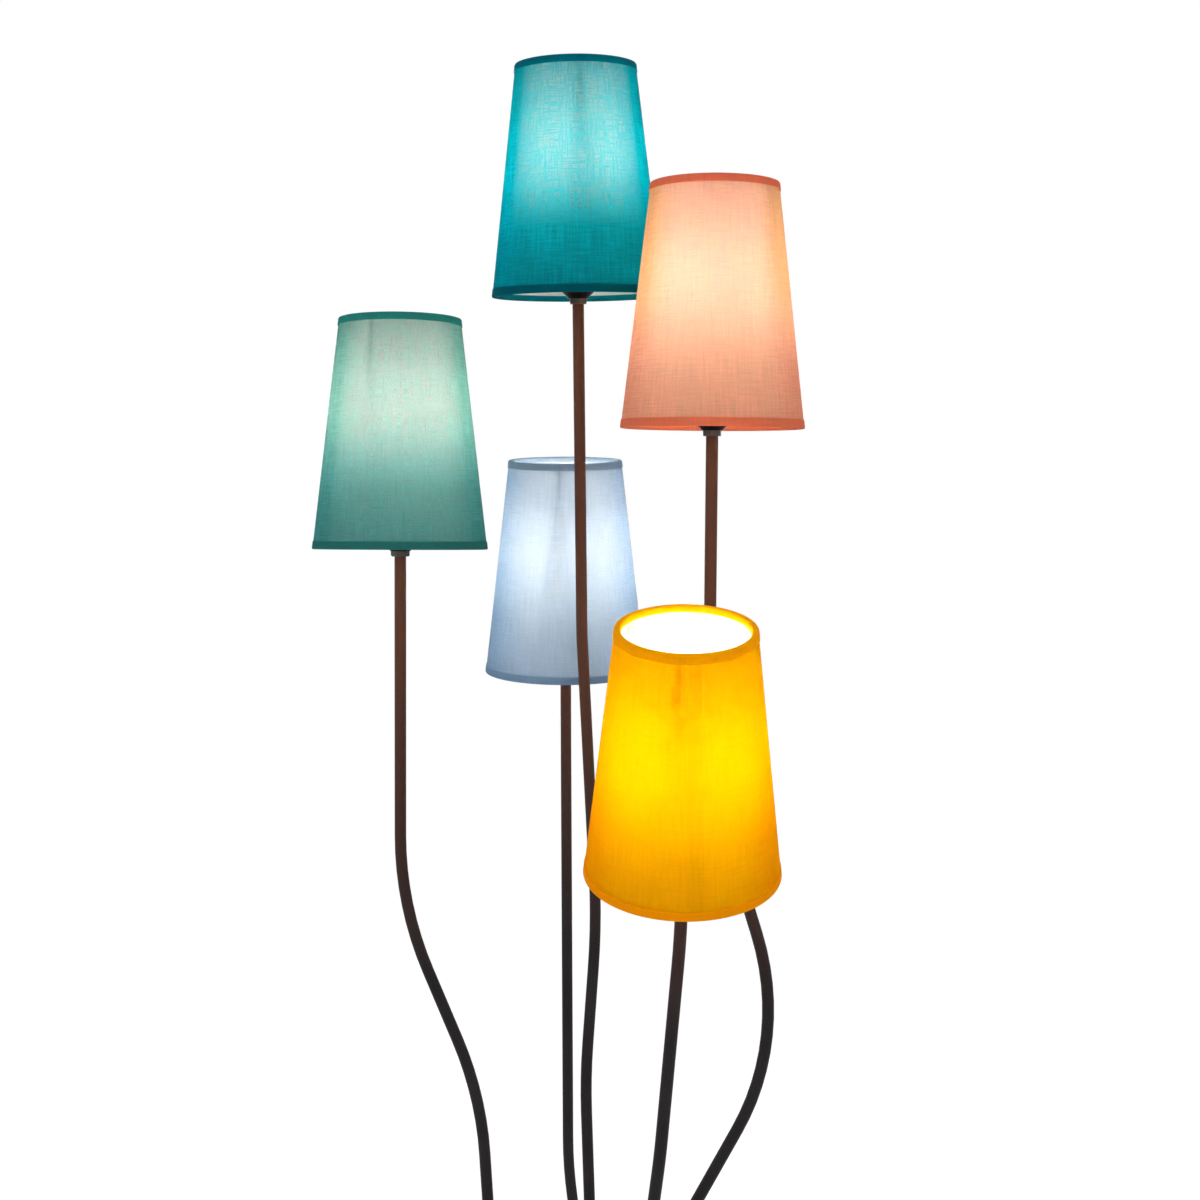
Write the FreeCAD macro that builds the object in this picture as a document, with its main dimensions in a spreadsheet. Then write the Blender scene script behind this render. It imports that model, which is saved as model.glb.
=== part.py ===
import FreeCAD, Part
import math
import os
import re
import Sketcher
from FreeCAD import Placement, Rotation, Vector

# Tree floor lamp: five bent tube stems stand in one hub on a weighted round base.
# Each stem turns in its socket and carries a candle lampholder, a bulb and a tapered cloth shade.
# Millimetres; origin at the middle of the base's underside, +Z up, the viewer's right is +X.

os.makedirs("parts", exist_ok=True)
doc = FreeCAD.newDocument("TreeFloorLamp")

sizes = {
    # Fits and gaps
    "seat_gap": 0.3,             # gap between pieces that touch on different bodies
    "thread_gap": 0.05,          # radial room in a screwed or turning fit
    "glue_gap": 0.2,             # glue line between shade layers
    "weld_gap": 0.1,             # weld line between an arm and its ring or hoop
    "bolt_room": 0.4,            # radial room round a bolt or its head
    # Base
    "felt_inset": 12,            # felt's edge inside the cover's wall
    "felt_thick": 3,             # felt thickness
    "base_dia": 300,             # outside of the spun cover
    "cover_lift": 0.5,           # cover's rim above the felt's top
    "rim_height": 13.5,          # straight wall of the cover
    "shoulder_radius": 9,        # cover's rounded shoulder
    "crown_rise": 4,             # rise of the cover from shoulder to middle
    "cover_wall": 1.5,           # sheet thickness of the cover
    "weight_room": 5.5,          # radial room between the cast weight and the cover's wall
    "weight_thick": 13,          # cast weight at its rim
    "weight_round": 3,           # cast weight's rounded edge
    "boss_dia": 122,             # raised middle of the weight that carries the hub
    "cavity_dia": 74,            # wiring space through the weight
    "plate_dia": 84,             # service plate under the wiring space
    "plate_thick": 1.5,          # service plate thickness
    "plate_recess": 2.2,         # depth of the recess for the service plate
    "plate_room": 0.5,           # radial room round the service plate
    "slot_width": 15,            # slot that leads the cord inwards
    # Hub
    "flange_dia": 118,           # hub flange
    "flange_thick": 7,           # hub flange thickness
    "hub_foot_dia": 86,          # hub body where it meets the flange
    "hub_top_dia": 80,           # hub body at its top
    "hub_height": 46,            # hub height with its flange
    "hub_round": 4,              # rounded top edge of the hub
    "socket_pitch": 28,          # outer sockets' distance from the middle
    "socket_depth": 36,          # how deep a stem stands in the hub
    "wire_hole": 6.5,            # hole under each socket for the flex
    "grub_dia": 5,               # grub screw
    "grub_length": 8,            # grub screw length
    "grub_height": 24,           # grub screws above the hub's foot
    "bolt_circle": 100,          # pitch circle of the hub bolts
    "bolt_dia": 6,               # hub bolt
    "bolt_head_dia": 10,         # hub bolt head
    "bolt_head_height": 6,       # hub bolt head height
    "bolt_sink": 1,              # hub bolt heads above the weight's underside
    "bolt_grip": 5,              # thread of a hub bolt inside the flange
    # Cord inlet and wiring
    "gland_bore": 6.5,           # bore of the cord gland
    "gland_dia": 9,              # barrel of the cord gland
    "gland_flange_dia": 12,      # gland's outer flange
    "gland_flange_thick": 2,     # gland's outer flange thickness
    "gland_length": 12,          # gland behind its flange
    "gland_height": 10,          # gland's axis above the floor
    "gland_nut_flats": 11,       # gland nut across flats
    "gland_nut_thick": 3,        # gland nut thickness
    "terminal_long": 46,         # terminal block length
    "terminal_wide": 17,         # terminal block width
    "terminal_high": 10,         # terminal block height
    "terminal_pitch": 9,         # distance between its wells
    "terminal_well": 4,          # diameter of a well
    "terminal_well_depth": 6,    # depth of a well
    # Stems
    "stem_dia": 10,              # stem tube
    "stem_wall": 1,              # stem tube wall
    "stem_insert": 4,            # stem's top above the shade's bottom plane
    "bend_radius": 300,          # centre-line radius of the bends
    "elbow_radius": 215,         # centre-line radius of the orange stem's elbow
    # Lampholder; heights are above the shade's bottom plane
    "nut_flats": 14,             # stem nut across flats
    "nut_thick": 4.6,            # stem nut thickness
    "holder_drop": 1.5,          # lampholder's foot below the shade's bottom plane
    "holder_foot_dia": 16.6,     # cap where it meets the nut
    "holder_dia": 28,            # lampholder
    "holder_wall": 2,            # wall of cap and sleeve
    "cap_flare": 6,              # height of the cap's flare
    "cap_height": 18,            # cap height
    "spigot_length": 8,          # sleeve's spigot inside the cap
    "collar_dia": 32,            # collar that carries the fitter ring
    "collar_thick": 4,           # collar thickness
    "collar_height": 44,         # top of the collar
    "thread_dia": 27,            # outside of the sleeve above its collar
    "sleeve_height": 74,         # top of the sleeve
    "core_height": 56,           # top of the ceramic core
    "bulb_cap_dia": 14,          # bulb cap
    "bulb_cap_length": 27,       # bulb cap length
    "bulb_neck_dia": 17,         # bulb glass where it leaves its cap
    "bulb_dia": 36,              # bulb at its widest
    "bulb_belly": 34,            # widest point above the bulb cap
    "bulb_glass_length": 78,     # glass above the cap
    "bulb_tip_dia": 5,           # flat of the bulb's tip
    "ring_dia": 36,              # shade ring
    "ring_thick": 7,             # shade ring thickness
    "ring_chamfer": 1.2,         # shade ring's chamfer
    # Shade
    "shade_bottom_dia": 150,     # shade over its lower band
    "shade_top_dia": 104.5,      # shade over its upper band
    "shade_height": 196.5,       # shade height
    "cloth_thick": 0.8,          # cloth on its liner
    "band_thick": 0.5,           # edge band
    "lower_band": 7,             # height of the lower edge band
    "upper_band": 6.5,           # height of the upper edge band
    "wire_dia": 2.4,             # hoop and spider wire
    "fitter_dia": 40,            # fitter ring outside
    "fitter_thick": 2,           # fitter ring thickness
    "fitter_play": 0.4,          # fitter ring's radial play on the sleeve
    "crank_dia": 56,             # circle on which the spider arms turn upwards
    "arm_bend": 6,               # bend radius of a spider arm
    "arm_count": 3,              # spider arms
    # Stems' places: bend points and the middle of each shade's bottom, across, back and up
    "teal_rise": 330,            # first bend of the teal stem above the floor
    "side_rise": 250,            # first bend of the other stems
    "teal_bend_a_across": -13, "teal_bend_a_back": 38, "teal_bend_a_up": 718,
    "teal_bend_b_across": -3, "teal_bend_b_back": 74, "teal_bend_b_up": 850,
    "teal_bend_c_across": -16, "teal_bend_c_back": 80, "teal_bend_c_up": 1107,
    "teal_lamp_across": -19, "teal_lamp_back": 80, "teal_lamp_up": 1404,
    "teal_spin": 35,
    "orange_bend_a_across": 37, "orange_bend_a_back": -60, "orange_bend_a_up": 567,
    "orange_bend_b_across": 155, "orange_bend_b_back": -72, "orange_bend_b_up": 794,
    "orange_bend_c_across": 89, "orange_bend_c_back": -48, "orange_bend_c_up": 1008,
    "orange_lamp_across": 91, "orange_lamp_back": -36, "orange_lamp_up": 1292,
    "orange_spin": 80,
    "green_bend_a_across": -89, "green_bend_a_back": -2, "green_bend_a_up": 471,
    "green_bend_b_across": -103, "green_bend_b_back": -1, "green_bend_b_up": 718,
    "green_bend_c_across": -172, "green_bend_c_back": 12, "green_bend_c_up": 882,
    "green_lamp_across": -171, "green_lamp_back": 35, "green_lamp_up": 1188,
    "green_spin": 10,
    "blue_bend_a_across": -11, "blue_bend_a_back": 100, "blue_bend_a_up": 468,
    "blue_bend_b_across": -30, "blue_bend_b_back": 128, "blue_bend_b_up": 596,
    "blue_bend_c_across": -32, "blue_bend_c_back": 166, "blue_bend_c_up": 1000,
    "blue_lamp_across": -32, "blue_lamp_back": 164, "blue_lamp_up": 1064,
    "blue_spin": 25,
    "yellow_bend_a_across": 27, "yellow_bend_a_back": -118, "yellow_bend_a_up": 549,
    "yellow_bend_b_across": 47, "yellow_bend_b_back": -150, "yellow_bend_b_up": 727,
    "yellow_bend_c_across": 62, "yellow_bend_c_back": -163, "yellow_bend_c_up": 912,
    "yellow_lamp_across": 62, "yellow_lamp_back": -175, "yellow_lamp_up": 961,
    "yellow_spin": 22,
}

sheet = doc.addObject("Spreadsheet::Sheet", "Sizes")
for row, (alias, length) in enumerate(sizes.items(), 1):
    sheet.set("A%d" % row, alias)
    sheet.set("B%d" % row, str(length))
    sheet.setAlias("B%d" % row, alias)
doc.recompute()

# Each stem's socket, in pitches right and back of the hub's middle
sockets = {"teal": (0, 0), "orange": (1, 0), "green": (-1, 0), "blue": (0, 1), "yellow": (0, -1)}
# Each stem's four bends, from the hub up, by the name of their radius
elbows = {colour: ["bend_radius"] * 4 for colour in sockets}
elbows["orange"][2] = "elbow_radius"

scratch = doc.addObject("App::FeaturePython", "Scratch")
scratch.addProperty("App::PropertyFloat", "Total")
nodes = []


# ---- how pieces are made ----

def bound(formula):
    """Formula on the sheet's aliases, as an expression."""
    return re.sub(r"\b([a-z]+_[a-z_]+)\b", r"Sizes.\1", str(formula))


def number(formula):
    """Present value of a formula on the sheet's aliases."""
    scratch.setExpression("Total", bound(formula))
    scratch.recompute()
    return scratch.Total


def dimension(sketch, kind, where, formula, present):
    """Horizontal or vertical distance from the sketch's origin, tied to the sheet."""
    index = sketch.addConstraint(Sketcher.Constraint(kind, -1, 1, where[0], where[1], present))
    sketch.setExpression("Constraints[%d]" % index, bound(formula))


def add_arc(sketch, start, end, level):
    """Arc of less than a half circle whose centre lies at a known height; returns its ends in order."""
    rise = (end.y - level) ** 2 - (start.y - level) ** 2
    centre = Vector((end.x ** 2 - start.x ** 2 + rise) / (2 * (end.x - start.x)), level, 0)
    circle = Part.Circle(centre, Vector(0, 0, 1), centre.distanceToPoint(start))
    begin = math.atan2(start.y - level, start.x - centre.x)
    finish = math.atan2(end.y - level, end.x - centre.x)
    if (finish - begin) % (2 * math.pi) < math.pi:
        return sketch.addGeometry(Part.ArcOfCircle(circle, begin, finish), False), 1, 2
    return sketch.addGeometry(Part.ArcOfCircle(circle, finish, begin), False), 2, 1


def turned(label, outline):
    """Body of revolution about Z from a closed outline of (radius, height) corners.

    A third value makes the edge that starts at that corner an arc with its centre at that height.
    """
    body = doc.addObject("PartDesign::Body", label)
    sketch = body.newObject("Sketcher::SketchObject", label + "_profile")
    front = [plane for plane in body.Origin.OriginFeatures if plane.Role == "XZ_Plane"][0]
    sketch.AttachmentSupport = [(front, "")]
    sketch.MapMode = "FlatFace"
    corners = [Vector(number(corner[0]), number(corner[1]), 0) for corner in outline]
    edges = []
    for i, corner in enumerate(outline):
        following = corners[(i + 1) % len(corners)]
        if len(corner) == 3:
            edge = add_arc(sketch, corners[i], following, number(corner[2]))
            dimension(sketch, "DistanceY", (edge[0], 3), corner[2], number(corner[2]))
        else:
            edge = (sketch.addGeometry(Part.LineSegment(corners[i], following), False), 1, 2)
        edges.append(edge)
    for i, (edge, first, last) in enumerate(edges):
        beyond = edges[(i + 1) % len(edges)]
        sketch.addConstraint(Sketcher.Constraint("Coincident", edge, last, beyond[0], beyond[1]))
        dimension(sketch, "DistanceX", (edge, first), outline[i][0], corners[i].x)
        dimension(sketch, "DistanceY", (edge, first), outline[i][1], corners[i].y)
    turn = body.newObject("PartDesign::Revolution", label + "_turn")
    turn.Profile = sketch
    turn.ReferenceAxis = (sketch, ["V_Axis"])
    turn.Angle = 360
    doc.recompute()
    return body


def cylinder(label, radius, height, position, turn=Rotation()):
    """Round bar along its own Z."""
    bar = doc.addObject("Part::Cylinder", label)
    bar.setExpression("Radius", bound(radius))
    bar.setExpression("Height", bound(height))
    bar.Placement = Placement(position, turn)
    return bar


def hexagon(label, flats, height, position, turn=Rotation()):
    """Hexagonal bar along its own Z, by its width across flats."""
    bar = doc.addObject("Part::Prism", label)
    bar.Polygon = 6
    bar.setExpression("Circumradius", bound(flats) + " / 2 / cos(30 deg)")
    bar.setExpression("Height", bound(height))
    bar.Placement = Placement(position, turn)
    return bar


def box(label, length, width, height, position):
    """Block from its low corner."""
    block = doc.addObject("Part::Box", label)
    block.setExpression("Length", bound(length))
    block.setExpression("Width", bound(width))
    block.setExpression("Height", bound(height))
    block.Placement = Placement(position, Rotation())
    return block


def united(label, pieces):
    """One solid from overlapping pieces."""
    fuse = doc.addObject("Part::MultiFuse", label)
    fuse.Shapes = pieces
    fuse.Refine = True
    return fuse


def group(label, pieces):
    """Several solids in one node."""
    compound = doc.addObject("Part::Compound", label)
    compound.Links = pieces
    return compound


def cut(label, base, tools):
    """Base less its tools, which have to take material away."""
    result = doc.addObject("Part::Cut", label)
    result.Base = base
    result.Tool = tools[0] if len(tools) == 1 else united(label + "_tools", tools)
    doc.recompute()
    if result.Shape.Volume > base.Shape.Volume - 1e-3:
        raise RuntimeError(label + " cuts nothing")
    return result


def bent_path(label, points, radii):
    """Wire of straight runs joined by tangent arcs at the inner points."""
    edges = []
    here = points[0]
    for before, corner, after, radius in zip(points, points[1:], points[2:], radii):
        back = (before - corner).normalize()
        ahead = (after - corner).normalize()
        half_turn = (math.pi - back.getAngle(ahead)) / 2
        start = corner + back * (radius * math.tan(half_turn))
        end = corner + ahead * (radius * math.tan(half_turn))
        inward = (back + ahead).normalize()
        middle = corner + inward * (radius / math.cos(half_turn) - radius)
        edges.append(Part.LineSegment(here, start).toShape())
        edges.append(Part.Arc(start, middle, end).toShape())
        here = end
    edges.append(Part.LineSegment(here, points[-1]).toShape())
    path = doc.addObject("Part::Feature", label)
    path.Shape = Part.Wire(edges)
    return path


def swept(label, path, radius, points):
    """Round bar along a path; its volume has to be its section times its length."""
    ring = doc.addObject("Part::Circle", label + "_section")
    ring.setExpression("Radius", bound(radius))
    ring.Placement = Placement(points[0], Rotation(Vector(0, 0, 1), points[1] - points[0]))
    sweep = doc.addObject("Part::Sweep", label)
    sweep.Sections = [ring]
    sweep.Spine = (path, [])
    sweep.Solid = True
    sweep.Frenet = False
    doc.recompute()
    wanted = math.pi * number(radius) ** 2 * path.Shape.Length
    if abs(sweep.Shape.Volume / wanted - 1) > 1e-3:
        raise RuntimeError(label + " has a wrong volume")
    return sweep


def around(count, start=0.0):
    """Evenly spaced angles in degrees."""
    return [start + 360.0 * i / count for i in range(int(count))]


def polar(radius, angle, height):
    """Point at a radius and an angle in degrees."""
    return Vector(radius * math.cos(math.radians(angle)), radius * math.sin(math.radians(angle)), height)


def keep(piece, placement=None):
    """Hand a finished piece over as a node, named by its label."""
    if placement is not None:
        piece.Placement = placement
    nodes.append(piece)
    return piece


# ---- base ----

rim_top = "(felt_thick + cover_lift + rim_height)"
crown = "(felt_thick + cover_lift + rim_height + shoulder_radius + crown_rise)"
weight_top = "(felt_thick + weight_thick)"
plate_ceiling = "(felt_thick + plate_recess)"
bolt_seat = "(felt_thick + bolt_sink + bolt_head_height)"
weight_radius = "(base_dia / 2 - cover_wall - weight_room)"
crown_height = number(crown)

keep(turned("felt_pad", [
    ("0", "0"),
    ("base_dia / 2 - felt_inset", "0"),
    ("base_dia / 2 - felt_inset", "felt_thick"),
    ("0", "felt_thick")]))

# Spun cover: straight rim, round shoulder, slow crown up to the flat seat of the hub
spun_cover = turned("spun_cover", [
    ("base_dia / 2", "felt_thick + cover_lift"),
    ("base_dia / 2", rim_top, rim_top),
    ("base_dia / 2 - shoulder_radius", rim_top + " + shoulder_radius"),
    ("boss_dia / 2", crown),
    ("cavity_dia / 2", crown),
    ("cavity_dia / 2", crown + " - cover_wall"),
    ("boss_dia / 2", crown + " - cover_wall"),
    ("base_dia / 2 - shoulder_radius", rim_top + " + shoulder_radius - cover_wall", rim_top),
    ("base_dia / 2 - cover_wall", rim_top),
    ("base_dia / 2 - cover_wall", "felt_thick + cover_lift")])
bolt_angles = around(4, 45)
backwards = Rotation(Vector(1, 0, 0), -90)
gland_axis = Vector(0, 0, number("gland_height"))
cover_holes = [cylinder("cover_gland_hole", "gland_dia / 2 + thread_gap", "base_dia", gland_axis, backwards)]
for i, angle in enumerate(bolt_angles):
    place = polar(number("bolt_circle / 2"), angle, 0)
    cover_holes.append(cylinder("cover_bolt_hole%d" % i, "bolt_dia / 2 + bolt_room", "2 * " + crown, place))
keep(cut("base_cover", spun_cover, cover_holes))

# Cast weight: raised middle, wiring space, recess for the service plate, slot for the cord
weight_casting = turned("weight_casting", [
    ("plate_dia / 2 + plate_room", "felt_thick"),
    (weight_radius, "felt_thick"),
    (weight_radius, weight_top + " - weight_round", weight_top + " - weight_round"),
    (weight_radius + " - weight_round", weight_top),
    ("boss_dia / 2", weight_top),
    ("boss_dia / 2", crown + " - cover_wall"),
    ("cavity_dia / 2", crown + " - cover_wall"),
    ("cavity_dia / 2", plate_ceiling),
    ("plate_dia / 2 + plate_room", plate_ceiling)])
weight_holes = [box("weight_slot", "slot_width", "base_dia / 2", weight_top,
                    Vector(number("-slot_width / 2"), 0, 0))]
for i, angle in enumerate(bolt_angles):
    place = polar(number("bolt_circle / 2"), angle, 0)
    weight_holes.append(cylinder("weight_bolt_hole%d" % i, "bolt_dia / 2 + bolt_room", crown, place))
    weight_holes.append(cylinder("weight_head_hole%d" % i, "bolt_head_dia / 2 + bolt_room", bolt_seat, place))
keep(cut("base_weight", weight_casting, weight_holes))

keep(turned("service_plate", [
    ("0", plate_ceiling + " - plate_thick"),
    ("plate_dia / 2", plate_ceiling + " - plate_thick"),
    ("plate_dia / 2", plate_ceiling),
    ("0", plate_ceiling)]))

terminal_foot = number(plate_ceiling)
terminal_body = box("terminal_body", "terminal_long", "terminal_wide", "terminal_high",
                    Vector(number("-terminal_long / 2"), number("-terminal_wide / 2"), terminal_foot))
well_floor = terminal_foot + number("terminal_high - terminal_well_depth")
wells = []
for i in range(-2, 3):
    place = Vector(i * number("terminal_pitch"), 0, well_floor)
    wells.append(cylinder("terminal_well%d" % (i + 2), "terminal_well / 2", "terminal_high", place))
keep(cut("terminal_block", terminal_body, wells))

# Hub: flange and tapered body, one socket in the middle and four round it
hub_top = "(" + crown + " + hub_height)"
hub_turning = turned("hub_turning", [
    ("0", crown),
    ("flange_dia / 2", crown),
    ("flange_dia / 2", crown + " + flange_thick"),
    ("hub_foot_dia / 2", crown + " + flange_thick"),
    ("hub_top_dia / 2", hub_top + " - hub_round", hub_top + " - hub_round"),
    ("hub_top_dia / 2 - hub_round", hub_top),
    ("0", hub_top)])
socket_floor = crown_height + number("hub_height - socket_depth")
grub_level = crown_height + number("grub_height")
grub_start = number("stem_dia / 2 + seat_gap")
hub_holes = []
grub_screws = []
for i, (colour, (right, back)) in enumerate(sockets.items()):
    middle = Vector(right, back, 0) * number("socket_pitch")
    outwards = Vector(right, back, 0) if right or back else Vector(1, 1, 0).normalize()
    sideways = Rotation(Vector(0, 0, 1), outwards)
    hub_holes.append(cylinder("%s_socket" % colour, "stem_dia / 2 + thread_gap", "hub_height",
                              middle + Vector(0, 0, socket_floor)))
    hub_holes.append(cylinder("%s_wire_hole" % colour, "wire_hole / 2", "hub_height",
                              middle + Vector(0, 0, crown_height)))
    hub_holes.append(cylinder("%s_grub_hole" % colour, "grub_dia / 2 + thread_gap", "flange_dia",
                              middle + Vector(0, 0, grub_level), sideways))
    grub_screws.append(cylinder("%s_grub" % colour, "grub_dia / 2", "grub_length",
                                middle + outwards * grub_start + Vector(0, 0, grub_level), sideways))
for i, angle in enumerate(bolt_angles):
    place = polar(number("bolt_circle / 2"), angle, 0)
    hub_holes.append(cylinder("hub_bolt_hole%d" % i, "bolt_dia / 2 + thread_gap",
                              crown + " + bolt_grip + bolt_room", place))
keep(cut("hub", hub_turning, hub_holes))
keep(group("grub_screws", grub_screws))

hub_bolts = []
for i, angle in enumerate(bolt_angles):
    place = polar(number("bolt_circle / 2"), angle, number(bolt_seat + " - bolt_head_height"))
    hub_bolts.append(united("hub_bolt%d" % i, [
        cylinder("bolt_head%d" % i, "bolt_head_dia / 2", "bolt_head_height", place),
        cylinder("bolt_shank%d" % i, "bolt_dia / 2", crown + " + bolt_grip - felt_thick - bolt_sink", place)]))
keep(group("hub_bolts", hub_bolts))

# Cord gland in the cover's rear wall, with its nut inside
gland_seat = gland_axis + Vector(0, number("base_dia / 2"), 0)
gland_body = united("gland_body", [
    cylinder("gland_flange", "gland_flange_dia / 2", "gland_flange_thick", gland_seat, backwards),
    cylinder("gland_barrel", "gland_dia / 2", "gland_length",
             gland_seat - Vector(0, number("gland_length"), 0), backwards)])
gland_bore = cylinder("gland_hole", "gland_bore / 2", "base_dia", gland_axis, backwards)
keep(cut("cord_gland", gland_body, [gland_bore]))
nut_seat = gland_seat - Vector(0, number("cover_wall + seat_gap + gland_nut_thick"), 0)
nut_blank = hexagon("gland_nut_blank", "gland_nut_flats", "gland_nut_thick", nut_seat,
                    backwards * Rotation(Vector(0, 0, 1), 30))
nut_hole = cylinder("gland_nut_hole", "gland_dia / 2 + thread_gap", "base_dia", gland_axis, backwards)
keep(cut("gland_nut", nut_blank, [nut_hole]))

# ---- arms ----

up = Vector(0, 0, 1)
cap_top = "(cap_height - holder_drop)"
cap_floor = "(cap_flare - holder_drop + holder_wall / 2)"
sleeve_bore = "(holder_dia / 2 - 2 * holder_wall)"
bulb_foot = "(sleeve_height - bulb_cap_length)"
taper = "((shade_bottom_dia - shade_top_dia) / 2 / shade_height)"
cloth_offset = "(band_thick + glue_gap)"
hoop_offset = "(band_thick + 2 * glue_gap + cloth_thick)"
lower_hoop = "(shade_bottom_dia / 2 - " + hoop_offset + " - " + taper + " * (wire_dia + " + cloth_offset + "))"
upper_hoop = "(shade_top_dia / 2 - " + hoop_offset + ")"


def cone_radius(height):
    """Formula of the shade's outer radius at a height formula."""
    return "(shade_bottom_dia / 2 - " + taper + " * (" + height + "))"


def stem(colour, points):
    """Bent tube from its socket up into the lampholder."""
    radii = [number(radius) for radius in elbows[colour]]
    path = bent_path(colour + "_route", points, radii)
    outside = swept(colour + "_tube", path, "stem_dia / 2", points)
    inside = swept(colour + "_tube_bore", path, "stem_dia / 2 - stem_wall", points)
    return cut(colour + "_stem", outside, [inside])


def stem_nut(colour):
    """Hexagonal nut under the lampholder, its corners chamfered at the foot."""
    blank = hexagon(colour + "_nut_blank", "nut_flats", "nut_thick", Vector())
    cone = doc.addObject("Part::Cone", colour + "_nut_chamfer")
    cone.setExpression("Radius1", bound("nut_flats / 2"))
    cone.setExpression("Radius2", bound("nut_flats / 2 + nut_thick"))
    cone.setExpression("Height", bound("nut_thick"))
    rounded = doc.addObject("Part::Common", colour + "_nut_rounded")
    rounded.Base = blank
    rounded.Tool = cone
    hole = cylinder(colour + "_nut_hole", "stem_dia / 2 + thread_gap", "nut_thick", Vector())
    return cut(colour + "_stem_nut", rounded, [hole])


def holder_cap(colour):
    """Flared cap that screws on the stem."""
    return turned(colour + "_holder_cap", [
        ("stem_dia / 2 + thread_gap", "-holder_drop"),
        ("holder_foot_dia / 2", "-holder_drop"),
        ("holder_dia / 2", "cap_flare - holder_drop"),
        ("holder_dia / 2", cap_top),
        ("holder_dia / 2 - holder_wall", cap_top),
        ("holder_dia / 2 - holder_wall", cap_floor),
        ("stem_dia / 2 + thread_gap", cap_floor)])


def holder_sleeve(colour):
    """Sleeve with a spigot in the cap, a collar for the fitter ring and a threaded mouth."""
    return turned(colour + "_holder_sleeve", [
        (sleeve_bore + " - holder_wall", cap_top + " - spigot_length"),
        ("holder_dia / 2 - holder_wall - thread_gap", cap_top + " - spigot_length"),
        ("holder_dia / 2 - holder_wall - thread_gap", cap_top),
        ("holder_dia / 2", cap_top),
        ("holder_dia / 2", "collar_height - collar_thick"),
        ("collar_dia / 2", "collar_height - collar_thick"),
        ("collar_dia / 2", "collar_height"),
        ("thread_dia / 2", "collar_height"),
        ("thread_dia / 2", "sleeve_height"),
        (sleeve_bore, "sleeve_height"),
        (sleeve_bore, cap_top + " - spigot_length + holder_wall"),
        (sleeve_bore + " - holder_wall", cap_top + " - spigot_length + holder_wall")])


def holder_core(colour):
    """Ceramic core with the well that the bulb's cap screws into."""
    return turned(colour + "_holder_core", [
        ("0", cap_top + " - spigot_length + holder_wall"),
        (sleeve_bore + " - glue_gap", cap_top + " - spigot_length + holder_wall"),
        (sleeve_bore + " - glue_gap", "core_height"),
        ("bulb_cap_dia / 2 + thread_gap", "core_height"),
        ("bulb_cap_dia / 2 + thread_gap", bulb_foot),
        ("0", bulb_foot)])


def shade_ring(colour):
    """Threaded ring that clamps the shade's fitter on the collar."""
    foot = "(collar_height + fitter_thick)"
    return turned(colour + "_shade_ring", [
        ("thread_dia / 2 + thread_gap", foot),
        ("ring_dia / 2", foot),
        ("ring_dia / 2", foot + " + ring_thick - ring_chamfer"),
        ("ring_dia / 2 - ring_chamfer", foot + " + ring_thick"),
        ("thread_dia / 2 + thread_gap", foot + " + ring_thick")])


def bulb(colour):
    """Candle bulb: cap, and glass that swells to its belly and closes to a small tip."""
    cap = turned(colour + "_bulb_cap", [
        ("0", bulb_foot),
        ("bulb_cap_dia / 2", bulb_foot),
        ("bulb_cap_dia / 2", "sleeve_height"),
        ("0", "sleeve_height")])
    glass = turned(colour + "_bulb_glass", [
        ("0", "sleeve_height"),
        ("bulb_neck_dia / 2", "sleeve_height", "sleeve_height + bulb_belly"),
        ("bulb_dia / 2", "sleeve_height + bulb_belly", "sleeve_height + bulb_belly"),
        ("bulb_tip_dia / 2", "sleeve_height + bulb_glass_length"),
        ("0", "sleeve_height + bulb_glass_length")])
    return group(colour + "_bulb", [cap, glass])


def shade_frame(colour):
    """Welded wire frame: fitter ring, cranked arms up to the upper hoop, and the lower hoop."""
    hoop_low = "(shade_height - " + cloth_offset + " - wire_dia)"
    pieces = [
        turned(colour + "_fitter_ring", [
            ("thread_dia / 2 + fitter_play", "collar_height"),
            ("fitter_dia / 2", "collar_height"),
            ("fitter_dia / 2", "collar_height + fitter_thick"),
            ("thread_dia / 2 + fitter_play", "collar_height + fitter_thick")]),
        turned(colour + "_upper_hoop", [
            (upper_hoop + " - wire_dia", hoop_low),
            (upper_hoop, hoop_low),
            (upper_hoop, hoop_low + " + wire_dia"),
            (upper_hoop + " - wire_dia", hoop_low + " + wire_dia")]),
        turned(colour + "_lower_hoop", [
            (lower_hoop + " - wire_dia", cloth_offset),
            (lower_hoop, cloth_offset),
            (lower_hoop, cloth_offset + " + wire_dia"),
            (lower_hoop + " - wire_dia", cloth_offset + " + wire_dia")])]
    crank = number("collar_height + fitter_thick / 2")
    turn_in = number("crank_dia / 2")
    top = Vector(number(upper_hoop + " - wire_dia / 2"), 0, number(hoop_low))
    climb = (top - Vector(turn_in, 0, crank)).normalize()
    # The arm's end is square to its climb, so its high edge would reach into the hoop
    top -= climb * (number("weld_gap") + number("wire_dia / 2") * climb.x / climb.z)
    for i, angle in enumerate(around(number("arm_count"))):
        points = [polar(number("fitter_dia / 2 + weld_gap"), angle, crank),
                  polar(turn_in, angle, crank),
                  polar(top.x, angle, top.z)]
        path = bent_path("%s_arm_route%d" % (colour, i), points, [number("arm_bend")])
        pieces.append(swept("%s_arm%d" % (colour, i), path, "wire_dia / 2", points))
    return group(colour + "_shade_frame", pieces)


def shade_cloth(colour):
    """Tapered tube of cloth on its liner."""
    top = "(shade_height - " + cloth_offset + ")"
    return turned(colour + "_shade", [
        (cone_radius(cloth_offset) + " - " + cloth_offset, cloth_offset),
        (cone_radius(top) + " - " + cloth_offset, top),
        (cone_radius(top) + " - " + cloth_offset + " - cloth_thick", top),
        (cone_radius(cloth_offset) + " - " + cloth_offset + " - cloth_thick", cloth_offset)])


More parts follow.
